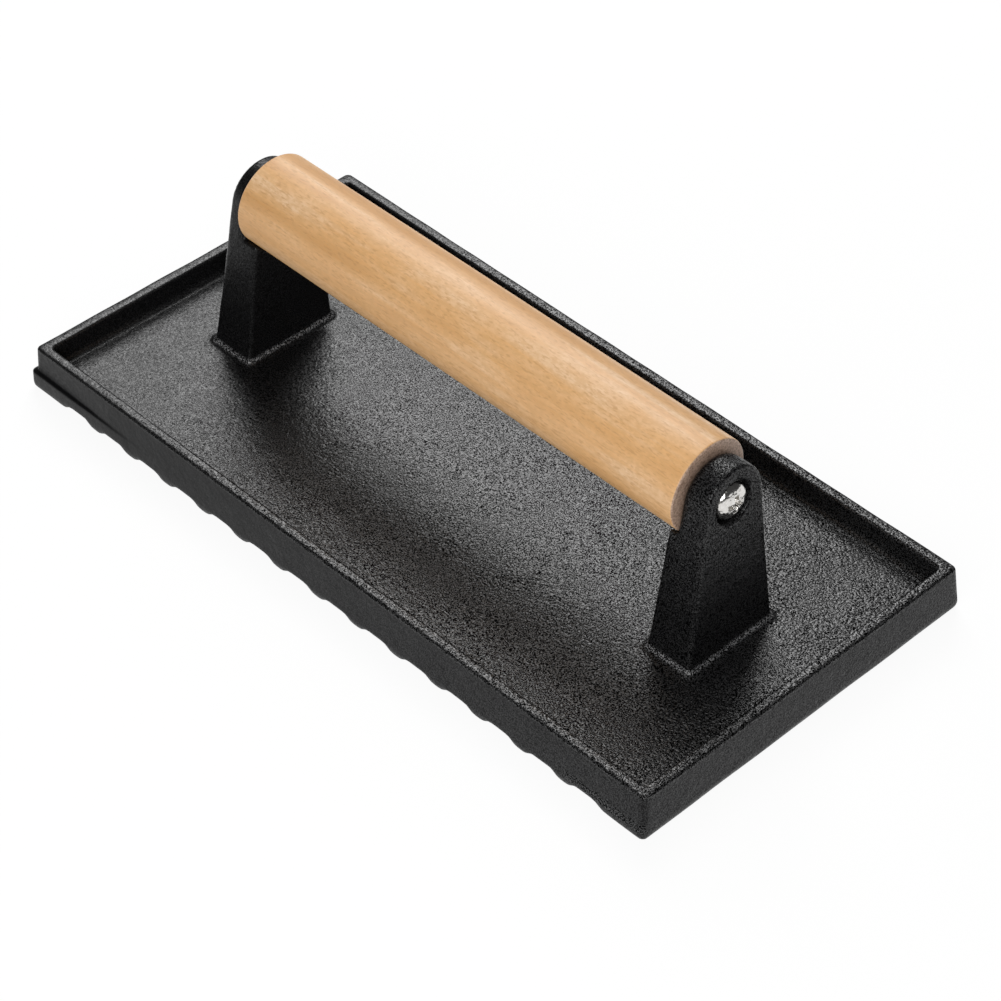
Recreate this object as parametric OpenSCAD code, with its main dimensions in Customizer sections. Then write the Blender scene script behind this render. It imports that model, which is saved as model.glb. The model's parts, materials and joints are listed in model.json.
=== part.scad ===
// Rectangular bacon press: a cast-iron plate with a rim, a grooved underside and two posts,
// and a turned wooden grip that a through bolt holds between the posts.
// Frame: +X along the grip, +Z up, origin under the middle of the plate, z = 0 on the ridge tips.

/* [Plate] */
// Length of the plate at the rim's top edge
rim_l = 209; // [200:1:230]
// Width of the plate at the rim's top edge
rim_w = 105.8; // [96:0.2:120]
// Height of the rim's top above the resting plane
rim_h = 12.6; // [11.4:0.1:15]
// Width of the rim's flat top
rim_t = 3; // [2.4:0.1:4]
// Height of the recess floor above the resting plane
floor_z = 6.6; // [5.6:0.1:7.4]
// Radius of the plate's corners, seen from above
corner_r = 2; // [1.5:0.5:8]
// How far the parting flange stands out past the rim's top edge
flange_out = 1.2; // [0.8:0.1:1.6]
// Height of the parting flange's upper edge
flange_z = 5.4; // [5:0.1:7]

/* [Underside] */
// Number of grooves across the underside
groove_count = 14; // [8:2:14]
// Distance from one ridge to the next
groove_pitch = 13.5; // [12:0.1:13.6]
// Depth of a groove
groove_depth = 1.8; // [0.8:0.1:2.4]
// Width of a groove's flat floor
groove_floor = 5; // [2:0.5:6]
// Width of the flat on a ridge's tip
ridge_flat = 1.2; // [1:0.1:4]

/* [Posts] */
// Distance between the two seats that the grip's ends stand in
seat_gap = 145; // [134:0.2:150]
// Mean depth of the two seats, cut into the posts' inner faces
seat_depth = 3.4; // [1.6:0.1:3.6]
// How far the grip and its two seats stand off the middle, towards the nut's post
seat_shift = 1.3; // [0:0.1:1.4]
// Width of a post at its foot, across the plate
post_foot_w = 28.5; // [24:0.5:32]
// Thickness of a post at its foot, along the grip
post_foot_t = 13.4; // [11.6:0.2:15]
// Mean thickness of the posts' crowns behind the seats
post_crown_t = 5.6; // [5.4:0.1:8]
// Radius of a post's round crown
post_crown_r = 9.2; // [8.4:0.1:11]
// How far a post's inner face leans out from the foot to the crown
post_lean = 0.7; // [0.2:0.1:1.5]
// Width and height of the flare around a post's foot
post_flare = 1.7; // [1:0.1:3]

/* [Grip] */
// Diameter of the grip
grip_d = 24; // [20:0.5:28]
// Height of the grip's axis above the resting plane
grip_axis_z = 49; // [44:0.5:60]
// Gap between the grip's end and a post
grip_end_gap = 0.3; // [0.2:0.05:0.8]
// Radius of the rounded edge at the grip's ends
grip_edge_r = 0.6; // [0.4:0.1:3]
// Diameter of the bore along the grip
grip_bore_d = 5.5; // [5.3:0.1:6.5]

/* [Fasteners] */
// Diameter of the bolt's shank
bolt_d = 5; // [5:0.1:5.2]
// Diameter of the bolt's pan head
head_d = 9.8; // [9:0.1:10]
// Height of the bolt's pan head
head_h = 3.7; // [3.2:0.1:4]
// Diameter of the bolt's hole through a post
bolt_hole_d = 5.5; // [5.3:0.1:6]
// Diameter of the counterbore on a post's outer face
counterbore_d = 11.4; // [11:0.2:13]
// Depth of the counterbore under the bolt's head, measured at the bolt's axis
head_seat_depth = 2.6; // [2:0.1:3]
// Depth of the counterbore under the nut, measured at the bolt's axis
nut_seat_depth = 3.2; // [3:0.1:3.8]
// Outer diameter of the lock washer
washer_d = 9.2; // [8.6:0.1:10]
// Thickness of the lock washer
washer_t = 1.2; // [1:0.1:1.4]
// Width of the nut across its flats
nut_flats = 8; // [8:0.1:8.4]
// Height of the nut
nut_h = 4; // [3.2:0.1:4.4]
// Length of the bolt's end past the nut
bolt_tail = 1; // [0.6:0.1:2]

/* [Hidden] */

// Smallest overlap that makes two solids one
overlap = 0.02;
// How far a cutting shape runs past what it cuts
past = 1;
// Segments on the round children of a hull
hull_fn = 32;
// Segments on every other round shape
round_fn = 64;

// The outer wall leans in by this much from the flange to the rim's top
wall_draft = 0.6;
// The lower edge is rounded: how far it stands out at two heights
edge_bottom_out = flange_out - 1.8;
edge_low_out = flange_out - 0.3;
// The recess wall leans in by this much from the rim's top to the floor
recess_draft = 1.4;
// Radius of the recess's corners at its floor, seen from above
recess_r = 0.6;
edge_bottom_z = -1;
edge_low_z = 0.85;
edge_high_z = 2.25;
// Height of the small step between the flange's edge and the wall above it
flange_step = 0.4;
// Straight pieces in one side of a groove
flank_steps = 7;
// Straight pieces in a crown's arc
crown_steps = 40;

crown_top_z = grip_axis_z + post_crown_r;
grip_seat_x = seat_gap / 2;
grip_seat_r = grip_d / 2 + grip_end_gap;
inner_crown_x = grip_seat_x - seat_depth;
inner_foot_x = inner_crown_x - post_lean;
outer_foot_x = inner_foot_x + post_foot_t;
outer_crown_x = grip_seat_x + post_crown_t;
// The outer face leans in steadily from the foot to the crown
outer_lean = (outer_foot_x - outer_crown_x) / (crown_top_z - floor_z);
outer_axis_x = outer_foot_x - outer_lean * (grip_axis_z - floor_z);
head_seat_x = outer_axis_x - head_seat_depth;
nut_seat_x = outer_axis_x - nut_seat_depth;
// How far a post's solid goes down into the plate
post_root = 2;

grip_l = seat_gap - 2 * grip_end_gap;
washer_slack = 0.2;
washer_bore_d = bolt_d + washer_slack;
washer_gap_w = 0.8;
washer_gap_angle = 20;
nut_slack = 0.1;
nut_bore_d = bolt_d + nut_slack;
nut_outer_x = nut_seat_x + washer_t + nut_h;
bolt_end_x = nut_outer_x + bolt_tail;
bolt_chamfer = 0.5;
head_rim_h = 1.9;
// Cross recess in the bolt's head
recess_slot_l = 5.4;
recess_slot_w = 1.3;
recess_depth = 2.2;
recess_floor_l = 2;

// Four upright cones at the plate's corners, for a hull to join. A grow is how far the wall that
// they make stands out past the rim's top edge.
module corner_cones(low_z, low_grow, high_z, high_grow) {
    for (sx = [-1, 1], sy = [-1, 1])
        translate([sx * (rim_l / 2 - corner_r), sy * (rim_w / 2 - corner_r), low_z])
            cylinder(
                h = high_z - low_z,
                r1 = corner_r + low_grow,
                r2 = corner_r + high_grow,
                $fn = hull_fn
            );
}

// Rim and plate as one block with leaning walls, a flange and a tucked-in lower edge
module plate_block() {
    hull() {
        corner_cones(edge_bottom_z, edge_bottom_out, edge_low_z, edge_low_out);
        corner_cones(edge_low_z, edge_low_out, edge_high_z, flange_out);
        corner_cones(edge_high_z, flange_out, flange_z, flange_out);
    }
    hull() corner_cones(flange_z - flange_step, wall_draft, rim_h, 0);
}

// Shallow recess inside the rim
module recess() {
    top_r = recess_r + recess_draft;
    hull()
        for (sx = [-1, 1], sy = [-1, 1])
            translate([sx * (rim_l / 2 - rim_t - top_r), sy * (rim_w / 2 - rim_t - top_r), floor_z])
                cylinder(h = rim_h - floor_z + overlap, r1 = recess_r, r2 = top_r, $fn = hull_fn);
}

// Height of a groove's side at a fraction u of the way up from the ridge to the groove's floor
function flank_height(u) = groove_depth * (1 - cos(180 * u)) / 2;

// Everything above the grooved underside, as wide as the plate and wider
module above_grooves() {
    flank_w = (groove_pitch - ridge_flat - groove_floor) / 2;
    reach_x = rim_l / 2 + flange_out + past;
    reach_y = rim_w / 2 + flange_out + past;
    wave = [
        for (i = [0 : groove_count - 1], side = [-1, 1], k = [0 : flank_steps])
            let (
                middle = (i - (groove_count - 1) / 2) * groove_pitch,
                u = side < 0 ? k / flank_steps : 1 - k / flank_steps
            )
            [middle + side * (groove_floor / 2 + flank_w * (1 - u)), flank_height(u)]
    ];
    rotate([90, 0, 0])
        linear_extrude(2 * reach_y, center = true)
            polygon(concat(
                [[-reach_x, rim_h + past], [-reach_x, 0]],
                wave,
                [[reach_x, 0], [reach_x, rim_h + past]]
            ));
}

// A post seen along the grip: straight sides that run into the round crown
module post_front() {
    h = grip_axis_z - floor_z;
    half_w = post_foot_w / 2;
    reach = sqrt(half_w * half_w + h * h);
    tangent = acos(post_crown_r / reach) - atan2(h, half_w);
    crown = [
        for (k = [0 : crown_steps])
            let (turn = tangent + (180 - 2 * tangent) * k / crown_steps)
            [post_crown_r * cos(turn), grip_axis_z + post_crown_r * sin(turn)]
    ];
    polygon(concat(
        [
            [-half_w, floor_z], [-half_w, floor_z - post_root],
            [half_w, floor_z - post_root], [half_w, floor_z]
        ],
        crown
    ));
}

// A post seen from the plate's long side: both faces lean, the outer one more
module post_side() {
    polygon([
        [inner_foot_x, floor_z - post_root], [outer_foot_x, floor_z - post_root],
        [outer_foot_x, floor_z], [outer_crown_x, crown_top_z + overlap],
        [inner_crown_x, crown_top_z + overlap], [inner_foot_x, floor_z]
    ]);
}

// Sloping flare around a post's foot, seen from one side
module flare_outline(low, high) {
    polygon([
        [low - post_flare, floor_z - post_root], [high + post_flare, floor_z - post_root],
        [high + post_flare, floor_z], [high, floor_z + post_flare],
        [low, floor_z + post_flare], [low - post_flare, floor_z]
    ]);
}

// Extrudes an outline drawn in Y and Z along X
module along_x(from_x, length) {
    translate([from_x, 0, 0]) rotate([90, 0, 90]) linear_extrude(length) children();
}

// Extrudes an outline drawn in X and Z along Y
module along_y(length) {
    rotate([90, 0, 0]) linear_extrude(length, center = true) children();
}

// The post at the +X end with its flared foot
module post() {
    intersection() {
        along_x(inner_foot_x - past, post_foot_t + 2 * past) post_front();
        along_y(post_foot_w + 2 * past) post_side();
    }
    intersection() {
        along_x(inner_foot_x - 2 * post_flare, post_foot_t + 4 * post_flare)
            flare_outline(-post_foot_w / 2, post_foot_w / 2);
        along_y(post_foot_w + 4 * post_flare) flare_outline(inner_foot_x, outer_foot_x);
    }
}

// Seat for the grip, bolt hole and counterbore of the post at the +X end
module post_bores(seat_x, counterbore_x) {
    translate([0, 0, grip_axis_z]) rotate([0, 90, 0]) {
        translate([0, 0, inner_foot_x - past])
            cylinder(h = seat_x - inner_foot_x + past, r = grip_seat_r, $fn = round_fn);
        translate([0, 0, inner_foot_x])
            cylinder(h = post_foot_t + past, d = bolt_hole_d, $fn = round_fn);
        translate([0, 0, counterbore_x])
            cylinder(h = post_foot_t, d = counterbore_d, $fn = round_fn);
    }
}

module press_casting() {
    color([0.09, 0.09, 0.095])
        difference() {
            union() {
                difference() {
                    intersection() {
                        plate_block();
                        above_grooves();
                    }
                    recess();
                }
                post();
                mirror([1, 0, 0]) post();
            }
            post_bores(grip_seat_x - seat_shift, head_seat_x);
            mirror([1, 0, 0]) post_bores(grip_seat_x + seat_shift, nut_seat_x);
        }
}

module wood_grip() {
    color([0.84, 0.66, 0.44])
        translate([-grip_l / 2 - seat_shift, 0, grip_axis_z]) rotate([0, 90, 0])
            difference() {
                rotate_extrude($fn = round_fn) {
                    square([grip_d / 2 - grip_edge_r, grip_l]);
                    translate([0, grip_edge_r]) square([grip_d / 2, grip_l - 2 * grip_edge_r]);
                    for (y = [grip_edge_r, grip_l - grip_edge_r])
                        translate([grip_d / 2 - grip_edge_r, y]) circle(grip_edge_r, $fn = round_fn);
                }
                translate([0, 0, -past]) cylinder(h = grip_l + 2 * past, d = grip_bore_d, $fn = round_fn);
            }
}

// One slot of the cross recess, cut down from the top of the head at z = 0
module recess_slot() {
    rotate([90, 0, 0])
        linear_extrude(recess_slot_w, center = true)
            polygon([
                [-recess_slot_l / 2, past], [-recess_floor_l / 2, -recess_depth],
                [recess_floor_l / 2, -recess_depth], [recess_slot_l / 2, past]
            ]);
}

// Pan head: an upright rim under a low dome, standing on z = 0
module pan_head() {
    dome_r = (pow(head_d / 2, 2) + pow(head_h - head_rim_h, 2)) / (2 * (head_h - head_rim_h));
    difference() {
        intersection() {
            cylinder(h = head_h, d = head_d, $fn = round_fn);
            translate([0, 0, head_h - dome_r]) sphere(dome_r, $fn = round_fn);
        }
        for (turn = [0, 90])
            translate([0, 0, head_h]) rotate([0, 0, turn]) recess_slot();
    }
}

module through_bolt() {
    color([0.75, 0.75, 0.76])
        translate([0, 0, grip_axis_z]) rotate([0, 90, 0]) {
            translate([0, 0, head_seat_x]) pan_head();
            translate([0, 0, bolt_chamfer - bolt_end_x])
                cylinder(h = head_seat_x + bolt_end_x - bolt_chamfer + overlap, d = bolt_d, $fn = round_fn);
            translate([0, 0, -bolt_end_x])
                cylinder(h = bolt_chamfer, d1 = bolt_d - 2 * bolt_chamfer, d2 = bolt_d, $fn = round_fn);
        }
}

module lock_washer() {
    color([0.62, 0.62, 0.64])
        translate([-nut_seat_x - washer_t, 0, grip_axis_z]) rotate([0, 90, 0])
            difference() {
                cylinder(h = washer_t, d = washer_d, $fn = round_fn);
                translate([0, 0, -past]) cylinder(h = washer_t + 2 * past, d = washer_bore_d, $fn = round_fn);
                translate([-washer_d / 2, 0, washer_t / 2]) rotate([washer_gap_angle, 0, 0])
                    cube([washer_d, washer_gap_w, 3 * washer_t], center = true);
            }
}

module hex_nut() {
    corner_d = nut_flats / cos(30);
    round_d = corner_d + overlap;
    chamfer = (round_d - nut_flats) / 2;
    color([0.7, 0.7, 0.72])
        translate([-nut_outer_x, 0, grip_axis_z]) rotate([0, 90, 0])
            difference() {
                intersection() {
                    cylinder(h = nut_h, d = corner_d, $fn = 6);
                    union() {
                        cylinder(h = chamfer, d1 = nut_flats, d2 = round_d, $fn = round_fn);
                        translate([0, 0, chamfer])
                            cylinder(h = nut_h - 2 * chamfer, d = round_d, $fn = round_fn);
                        translate([0, 0, nut_h - chamfer])
                            cylinder(h = chamfer, d1 = round_d, d2 = nut_flats, $fn = round_fn);
                    }
                }
                translate([0, 0, -past]) cylinder(h = nut_h + 2 * past, d = nut_bore_d, $fn = round_fn);
            }
}

press_casting();
wood_grip();
through_bolt();
lock_washer();
hex_nut();
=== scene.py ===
"""A rectangular cast-iron bacon press with a turned wooden grip: the finished looks.

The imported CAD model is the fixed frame. Every CAD node is replaced here by a finer mesh inside the
same box, with rounder edges and with a thread that the CAD solids leave out. The casting and the
fasteners are drawn as solids by their distance functions, in millimetres: a distance is negative
inside the metal and positive outside it.
"""

import json
import math

import bpy
import numpy as np
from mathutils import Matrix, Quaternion, Vector


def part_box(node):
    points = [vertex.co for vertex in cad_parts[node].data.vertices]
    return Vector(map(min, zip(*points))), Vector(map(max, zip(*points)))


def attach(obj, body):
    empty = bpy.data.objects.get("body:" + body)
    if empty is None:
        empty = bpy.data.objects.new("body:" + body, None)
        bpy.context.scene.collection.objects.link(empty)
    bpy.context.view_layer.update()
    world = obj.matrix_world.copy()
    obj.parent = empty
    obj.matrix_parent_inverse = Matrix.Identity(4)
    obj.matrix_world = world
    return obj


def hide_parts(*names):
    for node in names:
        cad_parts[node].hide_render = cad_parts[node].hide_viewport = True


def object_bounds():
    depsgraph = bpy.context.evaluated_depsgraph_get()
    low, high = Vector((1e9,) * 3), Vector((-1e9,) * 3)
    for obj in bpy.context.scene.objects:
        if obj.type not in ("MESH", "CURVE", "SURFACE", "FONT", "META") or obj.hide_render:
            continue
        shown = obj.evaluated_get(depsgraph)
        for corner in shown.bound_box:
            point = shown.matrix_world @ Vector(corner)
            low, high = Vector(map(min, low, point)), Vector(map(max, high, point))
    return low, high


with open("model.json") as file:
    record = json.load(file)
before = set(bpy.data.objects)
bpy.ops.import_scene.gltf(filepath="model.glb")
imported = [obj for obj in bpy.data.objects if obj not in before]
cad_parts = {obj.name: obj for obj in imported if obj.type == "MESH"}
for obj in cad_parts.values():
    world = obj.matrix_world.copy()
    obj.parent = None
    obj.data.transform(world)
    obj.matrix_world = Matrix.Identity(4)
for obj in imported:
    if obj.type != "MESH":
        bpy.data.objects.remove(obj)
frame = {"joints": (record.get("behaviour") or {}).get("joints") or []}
cad_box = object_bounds()

MM = 0.001


# ---------------------------------------------------------------- sizes, in millimetres

def node_box(node):
    """Lowest and highest corner of a CAD node, in millimetres."""
    low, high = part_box(node)
    return np.array(low) / MM, np.array(high) / MM


casting_low, casting_high = node_box("press_casting")
grip_low, grip_high = node_box("wood_grip")
bolt_low, bolt_high = node_box("through_bolt")
washer_low, washer_high = node_box("lock_washer")
nut_low, nut_high = node_box("hex_nut")
spin_joint = next(joint for joint in frame["joints"] if joint["name"] == "grip_spin")
axis_z = spin_joint["pos_m"][2] / MM

# Plate
flange_out = 1.2
rim_l = 2 * (casting_high[0] - flange_out)
rim_w = 2 * (casting_high[1] - flange_out)
rim_h = 12.6
rim_t = 3.0
floor_z = 6.6
corner_r = 1.4
recess_corner_r = 1.0
recess_draft = 0.7
recess_fillet_r = 1.8
rim_outer_edge_r = 0.6
rim_inner_edge_r = 0.8
low_edge_r = 0.8

# The outer wall from the bottom up: rounded lower edge, flange, small step, then a leaning wall.
# The step fades out between two places along the plate.
low_edge_tuck = 0.9
low_edge_h = 2.25
step_low_z = 5.1
step_high_z = 5.8
wall_draft = 0.2
step_fade = (-102.0, -60.0)

# Grooved underside
groove_count = 14
groove_pitch = 13.5
groove_depth = 1.8
groove_floor = 5.0
ridge_flat = 1.2

# Posts. The radius of an edge goes from its low to its high value over a part of the post's rise.
crown_top_z = casting_high[2]
crown_r = crown_top_z - axis_z
seat_depth = 3.4
post_lean = 0.7
post_foot_t = 13.4
post_crown_t = 5.6
grip_end_gap = 0.3
right_seat_x = grip_high[0] + grip_end_gap
left_seat_x = grip_end_gap - grip_low[0]
seat_x = (right_seat_x + left_seat_x) / 2
seat_r = (grip_high[2] - grip_low[2]) / 2 + grip_end_gap
inner_crown_x = seat_x - seat_depth
inner_foot_x = inner_crown_x - post_lean
outer_foot_x = inner_foot_x + post_foot_t
outer_crown_x = seat_x + post_crown_t
post_half_w = 14.25
post_root = 2.0
post_fillet_r = 2.0
post_inner_edge_low_r = 1.2
post_inner_edge_high_r = 2.0
post_inner_edge_rise = (0.5, 0.9)
post_outer_edge_low_r = 1.3
post_outer_edge_high_r = 0.5
post_outer_edge_rise = (0.4, 0.95)
seat_edge_r = 0.4
bolt_hole_r = 2.75
counterbore_r = 5.7
bore_edge_r = 0.35

# Fasteners
head_h = 3.7
head_r = (bolt_high[1] - bolt_low[1]) / 2
head_seat_x = bolt_high[0] - head_h
head_side_h = 1.9
head_edge_r = 0.9
head_foot_r = 0.2
slot_half_w = 0.72
slot_half_l = 2.75
slot_depth = 2.2
slot_side_draft = 0.1
slot_end_taper = 0.75
slot_edge_r = 0.12
nut_seat_x = -washer_high[0]
shank_r = 2.5
thread_pitch = 0.8
thread_depth = 0.45
thread_l = 16.0
thread_fade = 1.5
thread_flank = (0.05, 0.95)
head_overlap = 0.5
thread_clearance = 0.06
tip_chamfer = 0.8
small_edge_r = 0.1
nut_flat_r = (nut_high[1] - nut_low[1]) / 2 * math.cos(math.pi / 6)
nut_face_share = 0.96
nut_countersink = 0.5
nut_bore_edge_r = 0.08
washer_r = (washer_high[1] - washer_low[1]) / 2
washer_clearance = 0.1
washer_edge_r = 0.15
washer_half_gap = 0.4
washer_slant = math.radians(20)

# Grip
grip_bore_r = 2.75
grip_edge_r = 0.6
grip_bore_edge = 0.4
grip_segments = 128
grip_edge_steps = 8
grip_side_rings = 49
grip_bore_rings = 17


# ---------------------------------------------------------------- distance functions

# A leaning surface makes its distance look too long: the slope factors shrink it back
GROOVE_SLOPE = 0.85
THREAD_SLOPE = 0.7


def rounded_max(a, b, radius):
    """What two solids share, with the edge between them rounded."""
    corner = np.hypot(np.maximum(a + radius, 0), np.maximum(b + radius, 0))
    return np.minimum(np.maximum(a, b), -radius) + corner


def rounded_min(a, b, radius):
    """Two solids joined, with a fillet between them."""
    corner = np.hypot(np.maximum(radius - a, 0), np.maximum(radius - b, 0))
    return np.maximum(np.minimum(a, b), radius) - corner


def rectangle_distance(x, y, half_l, half_w, radius):
    """Distance to a rectangle with round corners."""
    dx = np.abs(x) - half_l + radius
    dy = np.abs(y) - half_w + radius
    return np.hypot(np.maximum(dx, 0), np.maximum(dy, 0)) + np.minimum(np.maximum(dx, dy), 0) - radius


def smooth_step(value, low, high):
    t = np.clip((value - low) / (high - low), 0, 1)
    return t * t * (3 - 2 * t)


def wall_growth(x, z):
    """How far the outer wall stands out past the rim's top edge, at a place along it and a height.

    The two halves of the mould didn't quite meet: the step above the flange fades out towards +X.
    """
    below = np.clip(1 - z / low_edge_h, 0, 1)
    lower = flange_out - low_edge_tuck * (1 - np.sqrt(1 - below * below))
    upper = wall_draft * (rim_h - z) / (rim_h - step_high_z)
    stepped = lower + (upper - lower) * smooth_step(z, step_low_z, step_high_z)
    leaning = np.minimum(lower, flange_out * (rim_h - z) / (rim_h - low_edge_h))
    return stepped + (leaning - stepped) * smooth_step(x, *step_fade)


def underside_height(x):
    """Height of the grooved underside along the plate."""
    flank_w = (groove_pitch - ridge_flat - groove_floor) / 2
    nearest = np.round(x / groove_pitch - 0.5) + 0.5
    nearest = np.clip(nearest, 0.5 - groove_count / 2, groove_count / 2 - 0.5)
    u = np.clip((np.abs(x - nearest * groove_pitch) - groove_floor / 2) / flank_w, 0, 1)
    return groove_depth * (1 + np.cos(math.pi * u)) / 2


SWELL_SEED = 5
SWELL_COUNT = 7
SWELL_LENGTHS = (11.0, 34.0)
SWELL_DEPTH = 0.022


def cast_unevenness(x, y, z):
    """Slow swells of a sand-cast surface."""
    swell = 0.0
    rng = np.random.default_rng(SWELL_SEED)
    for _ in range(SWELL_COUNT):
        direction = rng.normal(size=3)
        direction *= 2 * math.pi / (np.linalg.norm(direction) * rng.uniform(*SWELL_LENGTHS))
        phase = rng.uniform(0, 2 * math.pi)
        swell = swell + np.sin(direction[0] * x + direction[1] * y + direction[2] * z + phase)
    return SWELL_DEPTH * swell


def plate_distance(x, y, z):
    """Plate, rim, recess and grooved underside."""
    growth = wall_growth(x, z)
    wall = rectangle_distance(x, y, rim_l / 2 + growth, rim_w / 2 + growth, corner_r)
    block = rounded_max(wall, z - rim_h, rim_outer_edge_r)
    block = rounded_max(block, (underside_height(x) - z) * GROOVE_SLOPE, low_edge_r)
    side = rectangle_distance(x, y, rim_l / 2 - rim_t, rim_w / 2 - rim_t, recess_corner_r)
    side = side + recess_draft * (rim_h - z) / (rim_h - floor_z)
    recess = rounded_max(side, floor_z - z, recess_fillet_r)
    return rounded_max(block, -recess, rim_inner_edge_r)


def post_distance(x, y, z):
    """Both posts: tangent sides into a round crown, a seat for the grip, bolt hole and counterbore."""
    across = np.abs(x)
    rise = (z - floor_z) / (crown_top_z - floor_z)
    inner = inner_foot_x + rise * (inner_crown_x - inner_foot_x) - across
    outer = across - outer_foot_x + rise * (outer_foot_x - outer_crown_x)

    foot_drop = axis_z - floor_z
    tilt = math.acos(crown_r / math.hypot(post_half_w, foot_drop)) - math.atan2(foot_drop, post_half_w)
    up = z - axis_z
    radial = np.hypot(y, up)
    side = np.abs(y) * math.cos(tilt) + up * math.sin(tilt)
    beside_crown = up * math.cos(tilt) - np.abs(y) * math.sin(tilt)
    front = np.where(beside_crown > 0, radial, side) - crown_r

    seat = np.maximum(radial - seat_r, across - np.where(x > 0, right_seat_x, left_seat_x))
    inner = rounded_max(inner, -seat, seat_edge_r)
    inner_rise = smooth_step(rise, *post_inner_edge_rise)
    inner_edge_r = post_inner_edge_low_r + (post_inner_edge_high_r - post_inner_edge_low_r) * inner_rise
    post = rounded_max(front, inner, inner_edge_r)
    outer_rise = smooth_step(rise, *post_outer_edge_rise)
    outer_edge_r = post_outer_edge_low_r + (post_outer_edge_high_r - post_outer_edge_low_r) * outer_rise
    post = rounded_max(post, outer, outer_edge_r)
    post = np.maximum(post, floor_z - post_root - z)

    counterbore_x = np.where(x > 0, head_seat_x, nut_seat_x)
    counterbore = np.maximum(radial - counterbore_r, counterbore_x - across)
    bores = np.minimum(radial - bolt_hole_r, counterbore)
    return rounded_max(post, -bores, bore_edge_r)


def casting_distance(x, y, z):
    solid = rounded_min(plate_distance(x, y, z), post_distance(x, y, z), post_fillet_r)
    return solid + cast_unevenness(x, y, z)


def thread_radius(along, angle):
    """Radius of the bolt's thread, a rounded V that climbs one pitch in a turn."""
    turn = along / thread_pitch - angle / (2 * math.pi)
    flank = np.abs(2 * (turn - np.floor(turn)) - 1)
    return shank_r - thread_depth * smooth_step(flank, *thread_flank)


def bolt_distance(x, y, z):
    """Pan-head bolt with a cross recess, its thread at the nut's end."""
    up = z - axis_z
    radial = np.hypot(y, up)
    angle = np.arctan2(up, y)

    top = bolt_high[0]
    dome_h = head_h - head_side_h
    dome_r = (head_r ** 2 + dome_h ** 2) / (2 * dome_h)
    dome = np.hypot(x - top + dome_r, radial) - dome_r
    head = rounded_max(radial - head_r, dome, head_edge_r)
    head = rounded_max(head, head_seat_x - x, head_foot_r)
    depth = top - x
    arm_slope = 1 / math.hypot(1, slot_end_taper)
    for along, across in ((y, up), (up, y)):
        arm_side = np.abs(across) - slot_half_w + slot_side_draft * depth
        arm_end = np.abs(along) - slot_half_l + slot_end_taper * depth
        arm = np.maximum(np.maximum(arm_side, arm_end) * arm_slope, depth - slot_depth)
        head = rounded_max(head, -arm, slot_edge_r)

    thread_end = bolt_low[0] + thread_l
    threaded = smooth_step(thread_end - x, 0, thread_fade)
    surface_r = shank_r + (thread_radius(x, angle) - shank_r) * threaded
    shank = (radial - surface_r) * (1 + (THREAD_SLOPE - 1) * threaded)
    tip = (radial - shank_r + tip_chamfer - (x - bolt_low[0])) * math.sqrt(0.5)
    shank = rounded_max(shank, tip, small_edge_r)
    shank = rounded_max(shank, bolt_low[0] - x, small_edge_r)
    shank = np.maximum(shank, x - head_seat_x - head_overlap)
    return rounded_min(head, shank, head_foot_r)


def nut_distance(x, y, z):
    """Hexagon nut, chamfered on both faces, with a threaded bore."""
    up = z - axis_z
    radial = np.hypot(y, up)
    turns = (0, math.pi / 3, 2 * math.pi / 3)
    sides = [np.abs(y * math.sin(turn) + up * math.cos(turn)) for turn in turns]
    hexagon = np.maximum(np.maximum(sides[0], sides[1]), sides[2]) - nut_flat_r
    middle = (nut_low[0] + nut_high[0]) / 2
    face = np.abs(x - middle) - (nut_high[0] - nut_low[0]) / 2
    chamfer = (radial - nut_face_share * nut_flat_r) * math.sin(math.pi / 6) + face * math.cos(math.pi / 6)
    solid = rounded_max(hexagon, face, small_edge_r)
    solid = rounded_max(solid, chamfer, small_edge_r)
    bore = (radial - thread_radius(x, np.arctan2(up, y)) - thread_clearance) * THREAD_SLOPE
    countersink = (radial - shank_r - nut_countersink - face) * math.sqrt(0.5)
    return rounded_max(solid, -np.minimum(bore, countersink), nut_bore_edge_r)


def washer_distance(x, y, z):
    """Split spring washer with a slanted gap."""
    up = z - axis_z
    radial = np.hypot(y, up)
    middle = (washer_low[0] + washer_high[0]) / 2
    half_t = (washer_high[0] - washer_low[0]) / 2
    ring = rounded_max(radial - washer_r, shank_r + washer_clearance - radial, small_edge_r)
    ring = rounded_max(ring, np.abs(x - middle) - half_t, washer_edge_r)
    gap = washer_half_gap - np.abs(y * math.cos(washer_slant) + (x - middle) * math.sin(washer_slant))
    return rounded_max(ring, np.where(up < 0, gap, -1.0), small_edge_r)


# ---------------------------------------------------------------- meshes

def graded(*spans):
    """Grid lines from spans of (start, stop, step)."""
    lines = []
    for start, stop, step in spans:
        lines.append(np.linspace(start, stop, max(2, round((stop - start) / step) + 1)))
    return np.unique(np.round(np.concatenate(lines), 4))


def both_ways(lines):
    """Grid lines mirrored to the negative side."""
    return np.unique(np.concatenate([-lines, lines]))


def gradient(distance, points, reach):
    """Slope of a distance function at some points."""
    slopes = []
    for axis in range(3):
        offset = np.zeros(3)
        offset[axis] = reach
        slopes.append(distance(*(points + offset).T) - distance(*(points - offset).T))
    return np.stack(slopes, 1) / (2 * reach)


# How a point is moved onto the surface: the reach of its slope, the least slope squared, the longest
# move and the number of moves
SLOPE_REACH = 0.02
SLOPE_SQUARED_MIN = 0.2
MOVE_MAX = 0.4
MOVE_COUNT = 3


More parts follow.
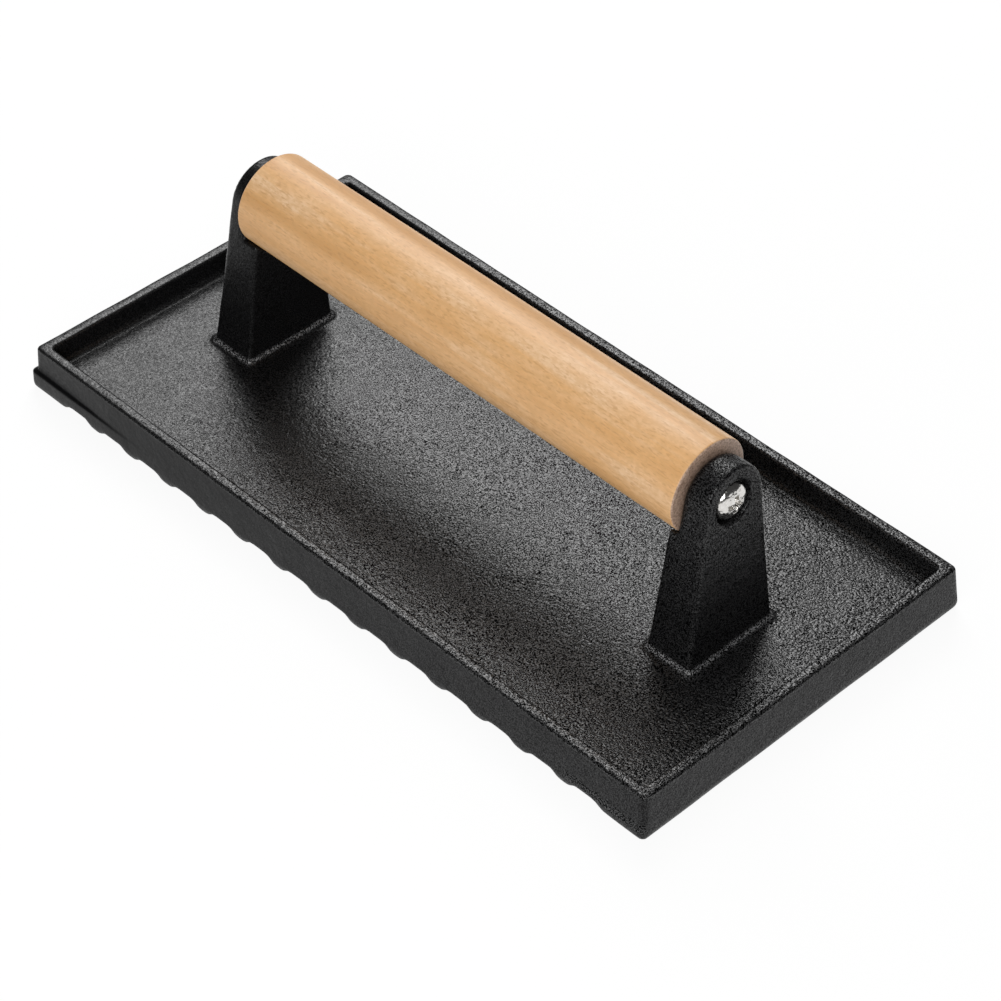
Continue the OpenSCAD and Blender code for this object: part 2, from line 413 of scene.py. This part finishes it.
def surface_net(distance, *lines):
    """Points and quads of the surface where distance is zero, from a grid of uneven steps.

    Each grid cell that the surface crosses holds one point, and each grid edge that it crosses one
    quad between the four cells around that edge. The points are then moved onto the surface.
    """
    values = distance(lines[0][:, None, None], lines[1][None, :, None], lines[2][None, None, :])
    inside = values < 0
    cells = np.array(values.shape) - 1
    strides = np.array([cells[1] * cells[2], cells[2], 1])
    rings, crossings = [], []
    for axis in range(3):
        low = tuple(slice(0, -1) if a == axis else slice(None) for a in range(3))
        high = tuple(slice(1, None) if a == axis else slice(None) for a in range(3))
        index = np.stack(np.nonzero(inside[low] != inside[high]), 1)
        ahead = index.copy()
        ahead[:, axis] += 1
        low_value = values[tuple(index.T)]
        share = low_value / (low_value - values[tuple(ahead.T)])
        point = np.stack([lines[a][index[:, a]] for a in range(3)], 1)
        point[:, axis] += share * (lines[axis][ahead[:, axis]] - point[:, axis])
        second, third = (axis + 1) % 3, (axis + 2) % 3
        home = index @ strides
        back, side = strides[second], strides[third]
        ring = np.stack([home - back - side, home - side, home, home - back], 1)
        falling = low_value > 0
        ring[falling] = ring[falling][:, ::-1]
        rings.append(ring)
        crossings.append(point)
    rings = np.concatenate(rings)
    crossings = np.repeat(np.concatenate(crossings), 4, axis=0)
    _, corner = np.unique(rings, return_inverse=True)
    corner = corner.ravel()
    count = np.bincount(corner)
    points = np.stack([np.bincount(corner, crossings[:, a]) / count for a in range(3)], 1)
    for _ in range(MOVE_COUNT):
        slope = gradient(distance, points, SLOPE_REACH)
        step = distance(*points.T) / np.maximum((slope ** 2).sum(1), SLOPE_SQUARED_MIN)
        points -= slope * np.clip(step, -MOVE_MAX, MOVE_MAX)[:, None]
    return points, corner.reshape(-1, 4)


def mesh_object(name, points, faces):
    """A smooth-shaded object from points in millimetres."""
    mesh = bpy.data.meshes.new(name)
    mesh.from_pydata((points * MM).tolist(), [], faces.tolist())
    mesh.validate()
    mesh.shade_smooth()
    piece = bpy.data.objects.new(name, mesh)
    bpy.context.scene.collection.objects.link(piece)
    return piece


def lathe(name, outline, segments):
    """A closed ring of a part turned about the grip's axis. The outline lists (along, radius)."""
    outline = np.array(outline)
    turns = np.linspace(0, 2 * math.pi, segments, endpoint=False)
    along = np.repeat(outline[:, 0], segments)
    radius = np.repeat(outline[:, 1], segments)
    turn = np.tile(turns, len(outline))
    points = np.stack([along, radius * np.cos(turn), axis_z + radius * np.sin(turn)], 1)
    ring, step = np.meshgrid(np.arange(len(outline)), np.arange(segments), indexing="ij")
    next_ring, next_step = (ring + 1) % len(outline), (step + 1) % segments
    corners = [ring * segments + step, next_ring * segments + step,
               next_ring * segments + next_step, ring * segments + next_step]
    return mesh_object(name, points, np.stack(corners, -1).reshape(-1, 4))


def arc(centre, radius, start, stop, steps):
    """Points of an arc, angles in degrees."""
    turns = np.radians(np.linspace(start, stop, steps + 1))
    return [(centre[0] + radius * math.cos(t), centre[1] + radius * math.sin(t)) for t in turns]


# ---------------------------------------------------------------- camera

VIEW_AIM = (5.4, 1.5, 0.0)
VIEW_AZIMUTH = math.radians(44.16)
VIEW_ELEVATION = math.radians(42.42)
VIEW_ROLL = math.radians(1.73)
VIEW_DISTANCE = 793.7
VIEW_LENS = 117.65


def make_camera():
    """The photograph's view: azimuth, elevation and roll about a point near the plate's middle."""
    aim = Vector(VIEW_AIM)
    back = Vector((
        math.sin(VIEW_AZIMUTH) * math.cos(VIEW_ELEVATION),
        -math.cos(VIEW_AZIMUTH) * math.cos(VIEW_ELEVATION),
        math.sin(VIEW_ELEVATION),
    ))
    camera = bpy.data.objects.new("camera", bpy.data.cameras.new("camera"))
    bpy.context.scene.collection.objects.link(camera)
    camera.data.lens = VIEW_LENS
    camera.data.sensor_width = 36.0
    camera.data.clip_start = 0.01
    camera.data.clip_end = 20.0
    camera.location = (aim + back * VIEW_DISTANCE) * MM
    camera.rotation_mode = "QUATERNION"
    camera.rotation_quaternion = (-back).to_track_quat("-Z", "Y") @ Quaternion((0, 0, 1), VIEW_ROLL)
    bpy.context.scene.camera = camera


make_camera()


# ---------------------------------------------------------------- materials

class Nodes:
    """A material's node tree, with short calls to add and link nodes."""

    def __init__(self, name):
        self.material = bpy.data.materials.new(name)
        self.material.use_nodes = True
        self.tree = self.material.node_tree
        self.shader = self.tree.nodes["Principled BSDF"]

    def add(self, kind, inputs=None, **settings):
        node = self.tree.nodes.new(kind)
        for key, value in settings.items():
            setattr(node, key, value)
        for key, value in (inputs or {}).items():
            self.set(node, key, value)
        return node

    def set(self, node, key, value):
        if isinstance(value, bpy.types.NodeSocket):
            self.tree.links.new(value, node.inputs[key])
        else:
            node.inputs[key].default_value = value

    def finish(self, **inputs):
        for key, value in inputs.items():
            self.set(self.shader, key.replace("_", " "), value)
        return self.material

    def place(self, scale=(1.0, 1.0, 1.0)):
        """Object coordinates in millimetres, times a scale."""
        coordinates = self.add("ShaderNodeTexCoord")
        inputs = {"Vector": coordinates.outputs["Object"], "Scale": tuple(s / MM for s in scale)}
        return self.add("ShaderNodeMapping", inputs).outputs["Vector"]

    def split(self, place):
        """The three coordinates of a place."""
        return self.add("ShaderNodeSeparateXYZ", {"Vector": place}).outputs

    def noise(self, place, size, detail=2.0, roughness=0.5, distortion=0.0):
        """Noise whose features are about size millimetres across."""
        inputs = {"Vector": place, "Scale": 1 / size, "Detail": detail, "Roughness": roughness,
                  "Distortion": distortion}
        return self.add("ShaderNodeTexNoise", inputs).outputs["Fac"]

    def ramp(self, factor, *stops):
        """Colour ramp from stops of (position, colour)."""
        ramp = self.add("ShaderNodeValToRGB", {"Fac": factor})
        elements = ramp.color_ramp.elements
        while len(elements) < len(stops):
            elements.new(0.5)
        for element, (position, colour) in zip(elements, stops):
            element.position = position
            element.color = (*colour, 1.0)
        return ramp.outputs["Color"]

    def spread(self, value, low, high, to_low, to_high):
        """Maps a value from one range to another, kept inside it."""
        inputs = {"Value": value, "From Min": low, "From Max": high, "To Min": to_low, "To Max": to_high}
        return self.add("ShaderNodeMapRange", inputs).outputs["Result"]

    def rise(self, value, low, high):
        """0 up to low, 1 from high on, and a straight line between."""
        return self.spread(value, low, high, 0.0, 1.0)

    def fall(self, value, low, high):
        """1 up to low, 0 from high on, and a straight line between."""
        return self.spread(value, low, high, 1.0, 0.0)

    def product(self, first, *others):
        for other in others:
            first = self.maths("MULTIPLY", first, other)
        return first

    def maths(self, operation, *values):
        node = self.add("ShaderNodeMath", operation=operation)
        for index, value in enumerate(values):
            self.set(node, index, value)
        return node.outputs["Value"]

    def mix(self, factor, a, b, blend_type="MIX"):
        node = self.add("ShaderNodeMix", data_type="RGBA", blend_type=blend_type)
        self.set(node, 0, factor)
        self.set(node, 6, a)
        self.set(node, 7, b)
        return node.outputs[2]

    def bump(self, height, depth, normal=None):
        """Bump of a depth in millimetres for a height from 0 to 1."""
        inputs = {"Height": height, "Distance": depth * MM, "Strength": 1.0}
        if normal is not None:
            inputs["Normal"] = normal
        return self.add("ShaderNodeBump", inputs).outputs["Normal"]


WHITE = (1.0, 1.0, 1.0, 1.0)

# Sand-cast grain. Sizes and depths are in millimetres, spans are places along the plate, and a pair
# of values goes with the two ends of its span.
DIMPLE_SIZE = 2.6
DIMPLE_DEPTH = 0.14
PEBBLE_SIZE = 0.62
PEBBLE_DEPTH = 0.12
GRIT_SIZE = 0.31
GRIT_GAIN = 7.2
GRAIN_SPAN = (-85.0, 75.0)
PEBBLE_RELIEF = (0.35, 1.20)
# The specks' contrast grows towards +X: random grain tone, strengthened towards +X as painted glint
GRIT_AND_GLINT_STRENGTH = (0.25, 1.12)
WALL_SAND_SPAN = (-70.0, 104.0)
WALL_SAND = (0.05, 0.50)
CRUMB_SAND = 1.1
CRUMB_X = (78.0, 86.0)
CRUMB_BOTTOM_Z = (2.4, 3.0)
CRUMB_TOP_Z = (4.4, 5.0)

# How much the casting shines, as factors on the brightest speck's specular level
SPECK_SHINE = 0.80
WALL_SHINE = 0.55
PLATE_SHINE_SPAN = (-90.0, -20.0)
PLATE_SHINE = (0.80, 0.86)
RIM_SHINE = 1.20
# Lower shine and weaker specks on the posts: painted shade
POST_SHADE_SHINE = 0.64
POST_SPECK_SHADE = 0.65
POST_FADE = 6.0
IRON_ROUGHNESS = (0.30, 0.42)

IRON_PIT = (0.0010, 0.0010, 0.0011)
IRON_BODY = (0.0050, 0.0050, 0.0053)
IRON_SPECK = (0.0260, 0.0260, 0.0268)
# Pale grey painted onto the ledge round each post's foot: a painted highlight
IRON_PAINTED_GLINT = (0.30, 0.30, 0.305, 1.0)


def outer_walls(n, along, across, z):
    """1 on the plate's outer walls, 0 elsewhere."""
    past_x = n.rise(along, rim_l / 2 - 0.5, rim_l / 2 - 0.1)
    past_y = n.rise(across, rim_w / 2 - 0.5, rim_w / 2 - 0.1)
    under_rim = n.fall(z, rim_h - 0.9, rim_h - 0.4)
    return n.product(n.maths("MAXIMUM", past_x, past_y), under_rim)


def wall_crumbs(n, x, across, z):
    """1 where the long walls carry crumbs of metal, near the bolt head's end."""
    on_long_wall = n.rise(across, rim_w / 2 - 0.2, rim_w / 2)
    return n.product(n.rise(z, *CRUMB_BOTTOM_Z), n.fall(z, *CRUMB_TOP_Z), n.rise(x, *CRUMB_X), on_long_wall)


def foot_ledges(n, along, across, z):
    """1 on the ledge round each post's foot."""
    above_floor = n.rise(z, floor_z + 0.3, floor_z + 0.7)
    below_post = n.fall(z, floor_z + 1.1, floor_z + 1.7)
    near_x = n.fall(along, outer_foot_x + 3, outer_foot_x + 4)
    near_y = n.fall(across, post_half_w + 3, post_half_w + 4)
    return n.product(above_floor, below_post, n.product(near_x, near_y))


def cast_iron():
    """Black seasoned cast iron: pebbled by the moulding sand, smooth on the plate's outer walls.

    The pebble relief grows towards +X, and so does the specks' contrast, partly as painted glint. The posts
    are a little duller than the plate, as painted shade, and the ledge round each post's foot carries a
    painted highlight.
    """
    n = Nodes("cast_iron")
    place = n.place()
    x, y, z = n.split(place)
    along, across = n.maths("ABSOLUTE", x), n.maths("ABSOLUTE", y)
    wall = outer_walls(n, along, across, z)
    crumbs = n.product(wall_crumbs(n, x, across, z), CRUMB_SAND)
    wall_sand = n.maths("ADD", n.spread(x, *WALL_SAND_SPAN, *WALL_SAND), crumbs)
    sand = n.mix(wall, WHITE, wall_sand)

    pebbles = n.noise(place, PEBBLE_SIZE, detail=0.0)
    relief = n.product(sand, n.spread(x, *GRAIN_SPAN, *PEBBLE_RELIEF))
    normal = n.bump(n.noise(place, DIMPLE_SIZE, detail=2.0), DIMPLE_DEPTH)
    normal = n.bump(n.product(pebbles, relief), PEBBLE_DEPTH, normal)

    grit = n.spread(n.noise(place, GRIT_SIZE, detail=1.0, roughness=0.6), 0.0, 1.0, -GRIT_GAIN, GRIT_GAIN)
    # Painted glint: the speck contrast grows towards +X; painted shade: it is weaker on the posts
    strength = n.spread(x, *GRAIN_SPAN, *GRIT_AND_GLINT_STRENGTH)
    strength = n.product(strength, n.spread(z, rim_h, rim_h + POST_FADE, 1.0, POST_SPECK_SHADE))
    specks = n.product(n.spread(n.product(grit, strength), -1.0, 1.0, -1.0, 1.0), sand)

    colour = n.ramp(n.rise(specks, -1.0, 1.0), (0.0, IRON_PIT), (0.5, IRON_BODY), (1.0, IRON_SPECK))
    # Painted highlight: pale specks on the ledge round each post's foot, where the overhead light would
    # glint
    painted_glint = n.product(foot_ledges(n, along, across, z), n.rise(grit, 0.0, 1.5))
    colour = n.mix(painted_glint, colour, IRON_PAINTED_GLINT)

    off_rim_top = n.maths("ABSOLUTE", n.maths("SUBTRACT", z, rim_h))
    shine = n.product(
        n.spread(specks, -1.0, 1.0, 0.0, SPECK_SHINE),
        n.spread(wall, 0.0, 1.0, 1.0, WALL_SHINE),
        n.spread(x, *PLATE_SHINE_SPAN, *PLATE_SHINE),
        n.spread(off_rim_top, 0.2, 0.5, RIM_SHINE, 1.0),
        # Painted shade: the posts shine less than the plate
        n.spread(z, rim_h, rim_h + POST_FADE, 1.0, POST_SHADE_SHINE),
    )
    roughness = n.spread(pebbles, 0.3, 0.7, *IRON_ROUGHNESS)
    return n.finish(Base_Color=colour, Roughness=roughness, Normal=normal, Specular_IOR_Level=shine)


# Wood: how far each pattern is stretched along the grip, its size in millimetres, and the colours
FIBRE_STRETCH, FIBRE_SIZE = (0.06, 1.0, 1.0), 0.55
MOTTLE_STRETCH, MOTTLE_SIZE = (0.5, 1.0, 1.0), 0.9
STREAK_STRETCH, STREAK_SIZE = (0.035, 1.0, 1.0), 4.2
CLOUD_STRETCH, CLOUD_SIZE = (0.35, 1.0, 1.0), 11.0
FLECK_STRETCH, FLECK_SIZE = (0.22, 1.0, 1.0), 0.42
GRAIN_STRETCH, GRAIN_SIZE, GRAIN_DEPTH = (0.05, 1.0, 1.0), 0.4, 0.02
PORE_SIZE = 0.45
STREAK_SHARE, CLOUD_SHARE = 0.55, 0.45
MOTTLE_STRENGTH, FIBRE_STRENGTH, FLECK_STRENGTH = 0.45, 0.35, 0.45
WOOD_ROUGHNESS = (0.46, 0.58)

WOOD_TAN = (0.68, 0.345, 0.115)
WOOD_HONEY = (0.81, 0.465, 0.20)
WOOD_CREAM = (0.88, 0.60, 0.36)
WOOD_MOTTLE = (0.66, 0.365, 0.14, 1.0)
WOOD_FIBRE = (0.70, 0.42, 0.21, 1.0)
WOOD_FLECK = (0.54, 0.27, 0.10, 1.0)
END_GRAIN_DARK = (0.26, 0.16, 0.11)
END_GRAIN_PALE = (0.58, 0.41, 0.31)


def pale_wood():
    """Lacquered pale hardwood: fibres along the grip, short flecks, and end grain on its two ends."""
    n = Nodes("pale_wood")
    x, _, _ = n.split(n.place())
    fibres = n.noise(n.place(FIBRE_STRETCH), FIBRE_SIZE, detail=5.0, roughness=0.65)
    mottle = n.noise(n.place(MOTTLE_STRETCH), MOTTLE_SIZE, detail=2.0, roughness=0.6)
    streaks = n.noise(n.place(STREAK_STRETCH), STREAK_SIZE, detail=3.0, distortion=0.6)
    clouds = n.noise(n.place(CLOUD_STRETCH), CLOUD_SIZE, detail=3.0)
    flecks = n.rise(n.noise(n.place(FLECK_STRETCH), FLECK_SIZE, detail=1.0), 0.56, 0.68)
    tone = n.maths("ADD", n.product(streaks, STREAK_SHARE), n.product(clouds, CLOUD_SHARE))
    colour = n.ramp(tone, (0.34, WOOD_TAN), (0.48, WOOD_HONEY), (0.62, WOOD_CREAM))
    colour = n.mix(n.spread(mottle, 0.40, 0.60, 0.0, MOTTLE_STRENGTH), colour, WOOD_MOTTLE)
    colour = n.mix(n.spread(fibres, 0.35, 0.65, 0.0, FIBRE_STRENGTH), colour, WOOD_FIBRE)
    colour = n.mix(n.product(flecks, FLECK_STRENGTH), colour, WOOD_FLECK)

    pores = n.noise(n.place(), PORE_SIZE, detail=3.0)
    end_grain = n.ramp(pores, (0.32, END_GRAIN_DARK), (0.62, END_GRAIN_PALE))
    from_middle = n.maths("ABSOLUTE", n.maths("SUBTRACT", x, (grip_low[0] + grip_high[0]) / 2))
    half_l = (grip_high[0] - grip_low[0]) / 2
    colour = n.mix(n.rise(from_middle, half_l - 0.35, half_l - 0.15), colour, end_grain)

    roughness = n.spread(fibres, 0.3, 0.7, *WOOD_ROUGHNESS)
    normal = n.bump(n.noise(n.place(GRAIN_STRETCH), GRAIN_SIZE, detail=3.0), GRAIN_DEPTH)
    return n.finish(
        Base_Color=colour, Roughness=roughness, Normal=normal, Coat_Weight=0.18, Coat_Roughness=0.38
    )


NICKEL_WORN = (0.62, 0.60, 0.57)
NICKEL_BRIGHT = (0.80, 0.79, 0.77)
STEEL_DARK = (0.30, 0.30, 0.31)
STEEL_PALE = (0.48, 0.48, 0.49)
SCRATCH_STRETCH, SCRATCH_SIZE, SCRATCH_DEPTH = (1.0, 0.3, 0.3), 0.25, 0.006
DENT_SIZE, DENT_DEPTH = 2.2, 0.42
STEEL_GRAIN_SIZE, STEEL_GRAIN_DEPTH = 0.2, 0.01


def bright_nickel():
    """Polished nickel plate, uneven and faintly scratched."""
    n = Nodes("bright_nickel")
    place = n.place()
    wear = n.noise(place, 0.8, detail=4.0)
    roughness = n.spread(wear, 0.3, 0.7, 0.12, 0.26)
    colour = n.ramp(wear, (0.2, NICKEL_WORN), (0.8, NICKEL_BRIGHT))
    normal = n.bump(n.noise(n.place(SCRATCH_STRETCH), SCRATCH_SIZE, detail=2.0), SCRATCH_DEPTH)
    normal = n.bump(n.noise(place, DENT_SIZE, detail=2.0), DENT_DEPTH, normal)
    return n.finish(Base_Color=colour, Metallic=1.0, Roughness=roughness, Normal=normal)


def spring_steel():
    """Dull grey spring steel, faintly oiled."""
    n = Nodes("spring_steel")
    place = n.place()
    wear = n.noise(place, 0.7, detail=4.0)
    roughness = n.spread(wear, 0.3, 0.7, 0.28, 0.48)
    colour = n.ramp(wear, (0.25, STEEL_DARK), (0.75, STEEL_PALE))
    normal = n.bump(n.noise(place, STEEL_GRAIN_SIZE, detail=2.0), STEEL_GRAIN_DEPTH)
    return n.finish(Base_Color=colour, Metallic=1.0, Roughness=roughness, Normal=normal)


# ---------------------------------------------------------------- pieces

def dress(piece, node, body, material):
    """Puts a finished piece in place of its CAD node."""
    piece.data.materials.append(material)
    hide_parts(node)
    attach(piece, body)


# The casting's grid as spans of (start, stop, step), closer together where the shape turns. The
# spans along and across it start at its middle and go out both ways.
CASTING_ALONG = (
    (0.0, 66.0, 1.35), (66.0, 84.0, 0.6), (84.0, 97.0, 1.6), (97.0, 100.6, 0.6),
    (100.6, 102.4, 0.25), (102.4, 104.2, 0.9), (104.2, 106.4, 0.37),
)
CASTING_ACROSS = (
    (0.0, 16.2, 0.75), (16.2, 46.0, 3.3), (46.0, 49.0, 0.6), (49.0, 50.8, 0.25),
    (50.8, 52.6, 0.9), (52.6, 54.6, 0.4),
)
CASTING_UP = (
    (-0.6, 3.0, 0.4), (3.0, 4.8, 0.6), (4.8, 6.2, 0.35), (6.2, 9.4, 0.5), (9.4, 11.2, 0.6),
    (11.2, 13.2, 0.25), (13.2, 34.0, 1.1), (34.0, 59.0, 0.6),
)


def make_casting():
    x_lines = both_ways(graded(*CASTING_ALONG))
    y_lines = both_ways(graded(*CASTING_ACROSS))
    z_lines = graded(*CASTING_UP)
    points, faces = surface_net(casting_distance, x_lines, y_lines, z_lines)
    points = np.clip(points, casting_low, casting_high)
    piece = mesh_object("casting", points, faces)
    dress(piece, "press_casting", "press", cast_iron())


def make_grip():
    end_x, middle_x = grip_high[0], (grip_low[0] + grip_high[0]) / 2
    radius = (grip_high[2] - grip_low[2]) / 2
    right = [(end_x - grip_bore_edge, grip_bore_r), (end_x, grip_bore_r + grip_bore_edge)]
    right += arc((end_x - grip_edge_r, radius - grip_edge_r), grip_edge_r, 0, 90, grip_edge_steps)
    left = [(2 * middle_x - along, r) for along, r in reversed(right)]
    side_x = np.linspace(right[-1][0], left[0][0], grip_side_rings)
    side = [(along, radius) for along in side_x[1:-1]]
    bore_x = np.linspace(left[-1][0], right[0][0], grip_bore_rings)
    inside = [(along, grip_bore_r) for along in bore_x[1:-1]]
    piece = lathe("grip", right + side + left + inside, grip_segments)
    dress(piece, "wood_grip", "grip", pale_wood())


def make_fasteners():
    plated, sprung = bright_nickel(), spring_steel()
    across = both_ways(graded((0.0, 5.3, 0.16)))
    around = across + axis_z
    thread_end = bolt_low[0] + thread_l + 2
    bolt_lines = graded((bolt_low[0] - 0.4, thread_end, 0.12), (thread_end, head_seat_x - 1, 2.5),
                        (head_seat_x - 1, bolt_high[0] + 0.4, 0.14))
    bolt = mesh_object("bolt", *surface_net(bolt_distance, bolt_lines, across, around))
    dress(bolt, "through_bolt", "press", plated)

    nut_lines = graded((nut_low[0] - 0.4, nut_high[0] + 0.4, 0.14))
    nut = mesh_object("nut", *surface_net(nut_distance, nut_lines, across, around))
    dress(nut, "hex_nut", "press", plated)

    washer_lines = graded((washer_low[0] - 0.3, washer_high[0] + 0.3, 0.1))
    washer = mesh_object("washer", *surface_net(washer_distance, washer_lines, across, around))
    dress(washer, "lock_washer", "press", sprung)


make_casting()
make_grip()
make_fasteners()


# ---------------------------------------------------------------- floor and lights

TABLE_HALF = 12000.0
TABLE_DROP = 0.02
TABLE_GREY = 0.09
TABLE_GLOW = 0.92

# Name, place, aim, size and power of each soft light
LIGHTS = (
    ("key", (-520, 490, 700), (0, 0, 20), (540, 540), 6.5),
    ("fill", (330, -520, 430), (0, 0, 30), (500, 500), 3.4),
    ("top", (-120, 160, 900), (0, 0, 20), (300, 300), 1.1),
)
WORLD_GLOW = 0.05


def make_floor():
    """A plain near-white table that glows, so that shadows on it stay faint."""
    half = TABLE_HALF
    points = np.array([(-half, -half, 0), (half, -half, 0), (half, half, 0), (-half, half, 0)], float)
    points[:, 2] = cad_box[0].z / MM - TABLE_DROP
    floor = mesh_object("floor", points, np.array([(0, 1, 2, 3)]))
    n = Nodes("pale_floor")
    floor.data.materials.append(n.finish(
        Base_Color=(TABLE_GREY, TABLE_GREY, TABLE_GREY, 1.0), Roughness=1.0, Specular_IOR_Level=0.0,
        Emission_Color=WHITE, Emission_Strength=TABLE_GLOW,
    ))


def make_area_light(name, place, aim, size, power):
    """A soft rectangular light. Place, aim and size are in millimetres, power in watts."""
    data = bpy.data.lights.new(name, "AREA")
    data.shape = "RECTANGLE"
    data.size, data.size_y = size[0] * MM, size[1] * MM
    data.energy = power
    light = bpy.data.objects.new(name, data)
    bpy.context.scene.collection.objects.link(light)
    light.location = Vector(place) * MM
    light.rotation_mode = "QUATERNION"
    light.rotation_quaternion = (Vector(aim) - Vector(place)).to_track_quat("-Z", "Y")


def make_lights():
    for light in LIGHTS:
        make_area_light(*light)
    world = bpy.data.worlds.new("studio")
    world.use_nodes = True
    background = world.node_tree.nodes["Background"]
    background.inputs["Color"].default_value = WHITE
    background.inputs["Strength"].default_value = WORLD_GLOW
    bpy.context.scene.world = world
    bpy.context.scene.view_settings.view_transform = "Standard"


make_floor()
make_lights()
